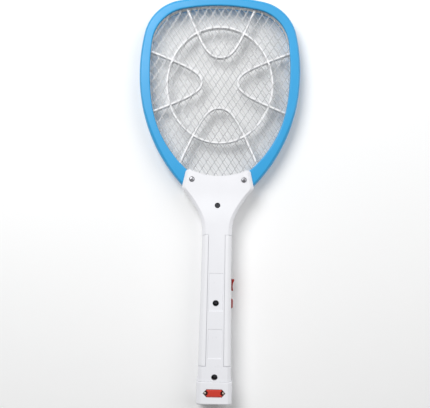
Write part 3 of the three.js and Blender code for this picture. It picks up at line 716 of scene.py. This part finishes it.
def make_spacer(name, node, side):
    """Rim, ring and U-shaped ribs joined into one moulding."""
    low, high = [corner * 1000 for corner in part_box(node)]
    bottom, top = (low.z, high.z) if side > 0 else (high.z, low.z)
    signed = 0.45 * side
    cy, rx, ry = RIB_RING
    ring = [(rx * math.cos(-a), cy + ry * math.sin(-a)) for a in np.linspace(0, 2 * math.pi, 121)[:-1]]
    spacer = swept_bar(name, ring, RIB_WIDTH, bottom, top, True, signed)
    tools = []
    for x_side in (1, -1):
        for a, b, c, d in RIB_LIMBS:
            curve = [(x * x_side, y) for x, y in bezier(a, b, c, d, 22)]
            tools.append(curve)
    # The two limbs of each U are one bar, so its vertex is round.
    bars = [list(reversed(tools[4])) + tools[0][1:], list(reversed(tools[5])) + tools[1][1:],
            list(reversed(tools[3])) + tools[2][1:], list(reversed(tools[7])) + tools[6][1:]]
    bars = [swept_bar("rib", bar, RIB_WIDTH, bottom, top, False, signed) for bar in bars]
    rim_path = offset_loop(OPENING_LOOP, 1.3)
    bars.append(swept_bar("rim", rim_path, 2.5, bottom, top, True, signed * 0.4))
    combine(spacer, bars, "UNION")
    return place(smooth(spacer, 38), "spacer_white", node)


# ---------------------------------------- casing form
NECK = [(-53, 16.1), (-37, 16.2), (-25, 16.8), (-17.2, 18.8), (-8.4, 23.0), (3, 30.3), (11.8, 37.4)]
HANDLE = [(CASE_LOW.y, 18.1), (-176, 17.8), (-150, 17.4), (-115, 16.8), (-80, 16.3)]
SHOULDER_CORNER = 4.2
EDGE_ROUND = (4.0, 8.0)  # how far the side's rounding runs across and down
SLOPE_SHARE = 0.34  # how much of that drop the sloped band takes


def casing_stations():
    """(Y, half width) from the cap joint to the shoulder's top edge."""
    handle = spline([*HANDLE, NECK[0]], 5)[:-1]
    stations = [tuple(p) for p in handle] + [tuple(p) for p in spline(NECK, 6)]
    stations += [(12.9, 38.2), (13.8, 38.62), (15.0, 38.66), (16.5, 38.5)]
    top = SHOULDER_TOP - SHOULDER_CORNER
    for k in range(9):
        a = math.pi / 2 * k / 8
        stations.append((top + SHOULDER_CORNER * math.sin(a),
                         35.6 - SHOULDER_CORNER * (1 - math.cos(a))))
    return stations


STATIONS = casing_stations()
STATION_Y = [y for y, _ in STATIONS]
STATION_W = [w for _, w in STATIONS]


def half_width(y):
    return float(np.interp(y, STATION_Y, STATION_W))


def half_depth(y):
    t = min(1.0, max(0.0, (y - SHOULDER_RAMP[0]) / (SHOULDER_RAMP[1] - SHOULDER_RAMP[0])))
    t = t * t * (3 - 2 * t)
    return HANDLE_DEPTH + (SHOULDER_DEPTH - HANDLE_DEPTH) * t


def quarter(w, d, across, down):
    """From the top middle to the side: a flat, a slope with a tight turn at each end, a straight side."""
    down = min(down, d * 0.8)
    slope = down * SLOPE_SHARE
    points = [(0.0, d), ((w - across) * 0.5, d), (w - across - 0.5, d)]
    points += spline([(w - across - 0.2, d - 0.01), (w - across + 0.15, d - slope * 0.06),
                      (w - across * 0.55, d - slope * 0.46), (w - across * 0.2, d - slope * 0.86),
                      (w - across * 0.05, d - slope * 1.22), (w, d - down)], 3)
    points.append((w, (d - down) * 0.5))
    return points


def box_section(w, d, rounding):
    """A closed rounded-box section of half width w and half depth d, from the top round by +X."""
    q = quarter(w, d, *rounding)
    right = [*q, (w, 0.0), *[(x, -z) for x, z in reversed(q)]]
    return [*right, *[(-x, z) for x, z in reversed(right[1:-1])]]


def section_loft(name, stations, centre_z, rounding):
    """stations are (Y, half width, half depth)."""
    loops = [[(x, y, centre_z + z) for x, z in box_section(w, d, rounding)] for y, w, d in stations]
    return lofted(name, loops)


def casing_solid(name, inset=0.0, rounding=EDGE_ROUND):
    low, high = STATION_Y[0] + inset, SHOULDER_TOP - inset
    stations = []
    for y, w in STATIONS:
        at = min(max(y, low), high)
        if not stations or at > stations[-1][0] + 0.01:
            stations.append((at, w - inset, half_depth(y) - inset))
    body = section_loft(name, stations, MID_Z, rounding)
    scoop = turned("scoop", [(0, -40), (SCOOP_RADIUS + inset, -40), (SCOOP_RADIUS + inset, 40), (0, 40)],
                   (0, SCOOP_LOW + SCOOP_RADIUS, MID_Z), sides=200)
    return combine(body, [scoop])


# ---------------------------------------- grip strips
GRIP_TOP, GRIP_BOTTOM = GRIP_HIGH.y, GRIP_LOW.y
GRIP_PROUD = 0.0
GRIP_EAR = 1.8  # how far the outer part of a strip's upper end falls away


def grip_edge(y):
    """Distance from the axis to a strip's inner edge, wider towards the tail."""
    return float(np.interp(y, [GRIP_BOTTOM, GRIP_TOP], [9.6, 8.85]))


def wrap_point(side, y, along, offset):
    """A point on the skin, a distance along its section from the top middle, moved along its normal."""
    w, d = half_width(y), half_depth(y)
    line = box_section(w, d, EDGE_ROUND)
    line = line[:len(line) // 2 + 1]
    lengths = [0.0]
    for (ax, az), (bx, bz) in zip(line, line[1:]):
        lengths.append(lengths[-1] + math.hypot(bx - ax, bz - az))
    total = lengths[-1]
    s = min(max(along, 0.0), total)
    x = float(np.interp(s, lengths, [p[0] for p in line]))
    z = float(np.interp(s, lengths, [p[1] for p in line]))
    e = 0.35
    ahead, back = min(s + e, total), max(s - e, 0.0)
    tx = np.interp(ahead, lengths, [p[0] for p in line]) - np.interp(back, lengths, [p[0] for p in line])
    tz = np.interp(ahead, lengths, [p[1] for p in line]) - np.interp(back, lengths, [p[1] for p in line])
    length = math.hypot(tx, tz)
    nx, nz = -tz / length, tx / length
    return side * (x + nx * offset), y, MID_Z + z + nz * offset, total


def wrapped_skin(name, side, grow, outer, inner, edge_radius):
    """A skin wrapped round one side of the handle, its border rounded over."""
    top, bottom = GRIP_TOP + grow, GRIP_BOTTOM - grow

    def placed(y, s, total, offset):
        """A point of the skin, with the upper end drawn down round the side."""
        round_side = min(1.0, max(0.0, (min(s, total - s) - 11.5) / 7))
        near_top = max(0.0, 1 - (top - y) / 14)
        return wrap_point(side, y - GRIP_EAR * round_side ** 2 * near_top ** 2, s, offset)[:3]

    border = [0.0, 0.08, 0.25, 0.5, 0.9, 1.4, 2.2]
    ys = [bottom + b for b in border]
    ys += list(np.linspace(bottom + 4, top - 4, 58)) + [top - b for b in reversed(border)]
    columns = 46
    outside, inside_rows = [], []
    for y in ys:
        edge = grip_edge(y) - grow
        total = wrap_point(side, y, 0, 0)[3]
        alongs = [edge + b for b in border]
        alongs += list(np.linspace(edge + 3, total - edge - 3, columns - 2 * len(border)))
        alongs += [total - edge - b for b in reversed(border)]
        row = []
        for s in alongs:
            near = min(y - bottom, top - y, s - edge, total - edge - s)
            drop = 0.0
            if near < edge_radius:
                drop = edge_radius - math.sqrt(max(0.0, edge_radius ** 2 - (edge_radius - near) ** 2))
            row.append(placed(y, s, total, outer - drop))
        outside.append(row)
        inside_rows.append([placed(y, s, total, inner) for s in alongs])
    rows = len(ys)
    points = [p for row in outside for p in row] + [p for row in inside_rows for p in row]
    faces = grid_faces(rows, columns, wrap_columns=False)
    back = rows * columns
    faces += [tuple(back + i for i in reversed(f)) for f in faces]
    border_loop = [j for j in range(columns)]
    border_loop += [i * columns + columns - 1 for i in range(1, rows)]
    border_loop += [(rows - 1) * columns + j for j in reversed(range(columns - 1))]
    border_loop += [i * columns for i in reversed(range(1, rows - 1))]
    for a, b in zip(border_loop, border_loop[1:] + border_loop[:1]):
        faces.append((a, b, back + b, back + a))
    return mesh_object(name, points, faces)


# ---------------------------------------- casing halves, grips
def screw_centre(name):
    low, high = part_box(name)
    return (low.x + high.x) * 500, (low.y + high.y) * 500, high.z * 1000


SCREW_NAMES = ["shoulder_screw_left", "shoulder_screw_right", "neck_screw", "grip_screw", "tail_screw"]
WELL_RADIUS = {"shoulder_screw_left": 2.85, "shoulder_screw_right": 2.85, "neck_screw": 2.95,
               "grip_screw": 3.4, "tail_screw": 3.4}
PANEL_HALF = 7.6
PANELS = [(-117.9, -77.1), (-168.8, -137.0)]  # low and high Y
PANEL_DEPTH = 0.5


def screw_well(name):
    """A counterbore with a small chamfer at its mouth."""
    x, y, crown = screw_centre(name)
    radius = WELL_RADIUS[name]
    face = MID_Z + half_depth(y)
    seat = crown - 1.9
    profile = [(0, seat), (radius, seat), (radius, face - 0.35), (radius + 0.35, face),
               (radius + 0.35, face + 5), (0, face + 5)]
    return turned("well", profile, (x, y, 0), sides=48)


def panel_cutter(low, high):
    """A shallow panel whose walls slope, so its border shows as a soft line."""
    face = MID_Z + HANDLE_DEPTH
    loops = []
    for inset, z in ((0.35, face - PANEL_DEPTH), (0.0, face), (0.0, face + 3)):
        outline = rounded_rectangle(-PANEL_HALF + inset, low + inset, PANEL_HALF - inset,
                                    high - inset, 0.9)
        loops.append([(x, y, z) for x, y in outline])
    return lofted("panel", loops)


def ring_passage(name, grow=0.25):
    loop = offset_loop(FRAME_LOOP, grow)
    return prism(name, loop, MID_Z - FRAME_DEPTH - grow, MID_Z + FRAME_DEPTH + grow)


def control_window(name, node, grow):
    low, high = [corner * 1000 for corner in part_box(node)]
    return block(name, (9, low.y - grow, low.z - grow), (30, high.y + grow, high.z + grow), 1.0, 4, "x")


def button_window(name, grow):
    low, high = [corner * 1000 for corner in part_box("push_button")]
    return block(name, (9, low.y + 0.9 - grow, low.z + 0.9 - grow),
                 (30, high.y - 0.9 + grow, high.z - 0.9 + grow), 1.2, 5, "x")


LAMPS = {"ready_led": "ready_lens", "charge_led": "charge_lens"}
LAMP_RADIUS = 1.5


def lamp_hole(node):
    """A round hole through the front wall, chamfered where it meets the outside."""
    low, high = [corner * 1000 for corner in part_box(node)]
    profile = [(0, -1), (LAMP_RADIUS + 0.6, -1), (LAMP_RADIUS + 0.6, 0.1), (LAMP_RADIUS + 0.25, 0.45),
               (LAMP_RADIUS + 0.25, 6), (0, 6)]
    return turned("lamp_hole", profile, ((low.x + high.x) / 2, (low.y + high.y) / 2, 0), sides=40)


def make_lamp(node, slot):
    """A round indicator lamp with a domed end in the front face."""
    low, high = [corner * 1000 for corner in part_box(node)]
    profile = [(0, low.z)]
    for k in range(1, 9):
        a = math.pi / 2 * k / 8
        profile.append((LAMP_RADIUS * math.sin(a), low.z + LAMP_RADIUS * (1 - math.cos(a))))
    profile += [(LAMP_RADIUS, high.z - 0.2), (LAMP_RADIUS - 0.2, high.z), (0, high.z)]
    lamp = turned(node + "_lens", profile, ((low.x + high.x) / 2, (low.y + high.y) / 2, 0), sides=40)
    return place(smooth(lamp, 40), slot, node)


def make_casing_half(name, side):
    body = casing_solid(name)
    cavity = casing_solid("cavity", 3.9, (3.0, 6.0))
    y0 = STATION_Y[0]
    tail = section_loft("tail", [(y0 - 3, 14, 11), (y0 + 8, 14, 11)], MID_Z, (3, 6))
    away = block("away", (-60, -230, MID_Z - side * 40 - 40 + side * PARTING_GAP),
                 (60, 60, MID_Z - side * 40 + 40 + side * PARTING_GAP))
    tools = [cavity, tail, away, ring_passage("passage")]
    tools += [wrapped_skin("recess", s, 0.22, 5.0, -1.55, 0.0) for s in (1, -1)]
    tools += [control_window("rocker_window", "rocker_housing", 0.25),
              button_window("button_window", 0.25)]
    if side > 0:
        tools += [screw_well(n) for n in SCREW_NAMES]
        tools += [panel_cutter(low, high) for low, high in PANELS]
    else:
        tools += [lamp_hole(node) for node in LAMPS]
    combine(body, tools)
    bevel(body, 0.3, 2, 40)
    bake_modifiers(body)
    return place(smooth(body, 40), "casing_white", name.replace("_moulding", ""))


def make_grip(name, node, side):
    strip = wrapped_skin(name, side, 0.0, GRIP_PROUD, -1.35, 0.8)
    if side > 0:
        combine(strip, [control_window("rocker_window", "rocker_housing", 0.12),
                        button_window("button_window", 0.2)])
    return place(smooth(strip, 50), "grip_white", node)


# ---------------------------------------- screws
SCREW_HEAD = 1.8  # depth under the crown
CROSS_TURN = 0.4  # radians that the cross recess stands off X
CROSS_DEPTH = 1.1


def make_screw(name):
    """A domed head with a cross recess, on a plain shank."""
    x, y, crown = screw_centre(name)
    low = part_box(name)[0].z * 1000
    seat = crown - SCREW_HEAD
    shank = [(0, low), (0.25, low), (1.3, low + 2.0), (1.4, low + 2.6), (1.4, seat)]
    head = [(2.75, seat), (2.8, seat + 0.15), (2.8, crown - 0.9), (2.66, crown - 0.5),
            (2.3, crown - 0.2), (1.6, crown - 0.02), (0.8, crown), (0, crown)]
    profile = shank + head
    screw = turned(name + "_turned", profile, (x, y, 0), sides=48)
    tools = []
    for turn in (CROSS_TURN, CROSS_TURN + math.pi / 2):
        arm = block("arm", (-1.75, -0.36, crown - CROSS_DEPTH), (1.75, 0.36, crown + 1), 0.1, 2)
        arm.matrix_world = Matrix.Translation((x * MM, y * MM, 0)) @ Matrix.Rotation(turn, 4, "Z")
        tools.append(arm)
    combine(screw, tools)
    # The handle's screws get screw_steel, the darker copy that paints the shade of their deeper wells. The
    # shoulder pair get screw_bright.
    finish = "screw_bright" if "shoulder" in name else "screw_steel"
    return place(smooth(screw, 30), "screw_steel", name, finish=finish)


# ---------------------------------------- tail cap and plug
CAP_WALL = 2.4
CAP_FLOOR = 6.6
CAP_END_LENGTH = 5.1  # of the wedge-shaped end
CAP_END_DEPTH = 13.9  # what the wedge takes off the half depth at its tip
PLUG_Y = (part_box("plug_face")[0].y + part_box("plug_face")[1].y) * 500
PIN_X = (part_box("pin_right")[0].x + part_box("pin_right")[1].x) * 500
PLUG_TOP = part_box("plug_face")[1].z * 1000
WINDOW = (12.2, 4.4, 8.2)


def window_outline(grow):
    tip, high, shoulder = WINDOW[0] + grow, WINDOW[1] + grow, WINDOW[2] + grow * 0.4
    corners = [(tip, 0), (shoulder, high), (-shoulder, high), (-tip, 0),
               (-shoulder, -high), (shoulder, -high)]
    return [(x, y + PLUG_Y) for x, y in corners]


def make_tail_cap():
    centre = (CAP_LOW.z + CAP_HIGH.z) / 2
    w, d, low, high = CAP_HIGH.x, CAP_HIGH.z - centre, CAP_LOW.y, CAP_HIGH.y
    stations = []
    for along, narrower, thinner in ((0, 0.16, 1), (0.04, 0.115, 0.955), (0.12, 0.07, 0.86),
                                     (0.25, 0.03, 0.69),
                                     (0.47, 0, 0.43), (0.68, 0, 0.21), (0.82, 0, 0.085), (0.92, 0, 0.025),
                                     (1, 0, 0)):
        stations.append((low + along * CAP_END_LENGTH, w - narrower * CAP_END_DEPTH,
                         d - thinner * CAP_END_DEPTH))
    stations += [(low + 9, w, d), (low + 17, w, d), (high - 0.8, w, d), (high - 0.3, w - 0.15, d - 0.15),
                 (high, w - 0.5, d - 0.5)]
    cap = section_loft("tail_cap_body", stations, centre, (4.6, 8.6))
    inner = section_loft("inner", [(low + CAP_FLOOR, w - CAP_WALL, d - CAP_WALL),
                                   (high + 5, w - CAP_WALL, d - CAP_WALL)],
                         centre, (3, 6))
    slide_low, slide_high = [corner * 1000 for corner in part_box("thumb_slide")]
    slot_top = slide_high.z + 18.5 + 0.3
    slot = block("slot", (-2.6, low - 1, slide_low.z), (2.6, low + CAP_FLOOR + 1, slot_top), 0.5, 3, "y")
    recess = block("recess", (-5.4, low - 1, slide_low.z - 0.5), (5.4, low + 3.2, slot_top + 0.3),
                   1.0, 4, "y")
    top = CAP_HIGH.z
    window = lofted("window", [[(x, y, z) for x, y in window_outline(g)]
                               for g, z in ((0, 20), (0, top - 0.4), (0.4, top), (0.4, top + 4))])
    combine(cap, [inner, slot, recess, window])
    bevel(cap, 0.22, 2, 40)
    bake_modifiers(cap)
    return place(smooth(cap, 40), "casing_white", "tail_cap")


def make_plug_face():
    """A red bar with sloped long sides, notched round both pins."""
    half_y = WINDOW[1] - 0.3
    top = PLUG_TOP
    loops = []
    for inset, z in ((0.0, top - 1.8), (0.0, top - 1.15), (0.1, top - 1.0), (1.2, top - 0.06), (1.35, top)):
        y1 = half_y - inset
        x1 = PIN_X - inset * 0.25
        corner = 1.9 - inset * 0.5
        outline = [(x1, -y1 + corner), (x1, y1 - corner), (x1 - corner, y1), (-x1 + corner, y1),
                   (-x1, y1 - corner), (-x1, -y1 + corner), (-x1 + corner, -y1), (x1 - corner, -y1)]
        loops.append([(x, y + PLUG_Y, z) for x, y in outline])
    bar = lofted("plug_bar", loops)
    tools = []
    for x in (-PIN_X, PIN_X):
        tools.append(turned("notch", [(0, 20), (2.7, 20), (2.7, top - 0.7), (3.2, top + 0.1),
                                      (3.2, 40), (0, 40)],
                            (x, PLUG_Y, 0), sides=40))
    combine(bar, tools)
    bevel(bar, 0.12, 2, 30)
    bake_modifiers(bar)
    return place(smooth(bar, 30), "plug_red", "plug_face")


PIN_DOME = 3.0


def make_pin(name, node):
    low, high = [corner * 1000 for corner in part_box(node)]
    x, radius = (low.x + high.x) / 2, (high.x - low.x) / 2
    profile = [(0, low.z), (radius - 0.1, low.z), (radius, low.z + 0.1), (radius, high.z - PIN_DOME)]
    for k in range(1, 11):
        a = math.pi / 2 * k / 10
        profile.append((radius * math.cos(a) * 0.999 + 0.001,
                        high.z - PIN_DOME + PIN_DOME * math.sin(a)))
    profile.append((0, high.z))
    pin = turned(name, profile, (x, PLUG_Y, 0), sides=48)
    return place(smooth(pin, 30), "pin_brass", node, body="plug_carriage")


def make_thumb_slide():
    low, high = [corner * 1000 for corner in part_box("thumb_slide")]
    knob = block("thumb_piece", (-5, low.y + 0.6, low.z), (5, low.y + 1.6, high.z), 1.2, 5, "y")
    tools = [block("stem", (-2.2, low.y + 1.2, low.z + 0.4), (2.2, high.y, high.z - 0.4), 0.4, 2, "y")]
    for k in range(5):
        z = low.z + 0.9 + k * 0.87
        tools.append(block("ridge", (-4.0, low.y, z - 0.24), (4.0, low.y + 1.2, z + 0.24), 0.2, 2, "y"))
    combine(knob, tools, "UNION")
    bevel(knob, 0.12, 2, 40)
    bake_modifiers(knob)
    return place(smooth(knob, 40), "control_red", "thumb_slide", body="plug_carriage")


# ---------------------------------------- side controls
ROCKER = next(j for j in frame["joints"] if j["name"] == "rocker_hinge")
ROCKER_X, ROCKER_Y = ROCKER["pos_m"][0] * 1000, ROCKER["pos_m"][1] * 1000
ROCKER_TILT = -math.radians(6)


def make_rocker():
    """A paddle with rounded ends and a dished face, tilted upper end out."""
    low, high = [corner * 1000 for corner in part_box("rocker")]
    face = spline([(6.2, -5.75), (6.0, -4.9), (5.4, -2.6), (5.15, 0),
                   (5.4, 2.6), (6.0, 4.9), (6.2, 5.75)], 5)
    nose = [(6.05, 6.0), (5.6, 6.1)]
    back = [(2.4, 6.0), (-1.4, 2.0), (-1.4, -2.0), (2.4, -6.0), (5.6, -6.1), (6.05, -6.0)]
    outline = [tuple(p) for p in face] + nose + back
    c, s = math.cos(ROCKER_TILT), math.sin(ROCKER_TILT)
    turned_outline = [(ROCKER_X + x * c - y * s, ROCKER_Y + x * s + y * c) for x, y in outline]
    paddle = prism("rocker_paddle", turned_outline, low.z, high.z)
    bevel(paddle, 0.35, 3, 30)
    bake_modifiers(paddle)
    return place(smooth(paddle, 40), "control_red", "rocker", body="rocker")


def make_rocker_housing():
    low, high = [corner * 1000 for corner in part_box("rocker_housing")]
    body = block("rocker_frame", low, high, 1.0, 4, "x")
    pocket = block("pocket", (low.x + 1.2, low.y + 0.45, low.z + 0.9),
                   (high.x + 2, high.y - 0.45, high.z - 0.9),
                   0.5, 3, "x")
    combine(body, [pocket])
    bevel(body, 0.15, 2, 40)
    bake_modifiers(body)
    return place(smooth(body, 40), "black_plastic", "rocker_housing")


def make_push_button():
    low, high = [corner * 1000 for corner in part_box("push_button")]
    y0, y1, z0, z1 = low.y + 0.9, high.y - 0.9, low.z + 0.9, high.z - 0.9
    loops = []
    steps = [(0.0, low.x + 1.0), (0.0, high.x - 0.9), (0.12, high.x - 0.5), (0.4, high.x - 0.2),
             (0.9, high.x - 0.05),
             (1.6, high.x)]
    for inset, x in steps:
        outline = rounded_rectangle(y0 + inset, z0 + inset, y1 - inset, z1 - inset,
                                    max(0.3, 1.1 - inset * 0.3), 5)
        loops.append([(x, y, z) for y, z in outline])
    button = lofted("button_cap", loops)
    flange = block("flange", low, (low.x + 1.2, high.y, high.z), 1.0, 4, "x")
    combine(button, [flange], "UNION")
    return place(smooth(button, 50), "control_red", "push_button", body="push_button")


# ---------------------------------------- pieces kept from the frame
def finish_frame_nodes():
    """Every CAD node gets its slot's material, and nodes under 1500 faces get their edges softened."""
    for entry in frame["record"]["subparts"]:
        node = frame["nodes"][entry["node"]]
        node.data.materials.clear()
        node.data.materials.append(MATERIALS[entry["material_slot"]])
        if len(node.data.polygons) < 1500:
            bevel(node, 0.12)


def main():
    finish_frame_nodes()
    make_camera()
    make_stage()
    make_frame_ring("back_frame_shell", 1)
    make_frame_ring("front_frame_shell", -1)
    make_sheet("back_expanded_mesh", "back_guard_mesh", 0.0, 0.0, 1)
    make_sheet("centre_expanded_grid", "centre_grid", 2.1, 3.2, 2)
    make_sheet("front_expanded_mesh", "front_guard_mesh", 0.6, 1.1, 3)
    make_spacer("back_rib_moulding", "back_rib_spacer", 1)
    make_spacer("front_rib_moulding", "front_rib_spacer", -1)
    make_casing_half("back_shell_moulding", 1)
    make_casing_half("front_shell_moulding", -1)
    make_grip("left_grip_moulding", "left_grip_strip", -1)
    make_grip("right_grip_moulding", "right_grip_strip", 1)
    for name in SCREW_NAMES:
        make_screw(name)
    make_tail_cap()
    make_plug_face()
    make_pin("left_round_pin", "pin_left")
    make_pin("right_round_pin", "pin_right")
    make_thumb_slide()
    make_rocker()
    make_rocker_housing()
    make_push_button()
    for node, slot in LAMPS.items():
        make_lamp(node, slot)


main()
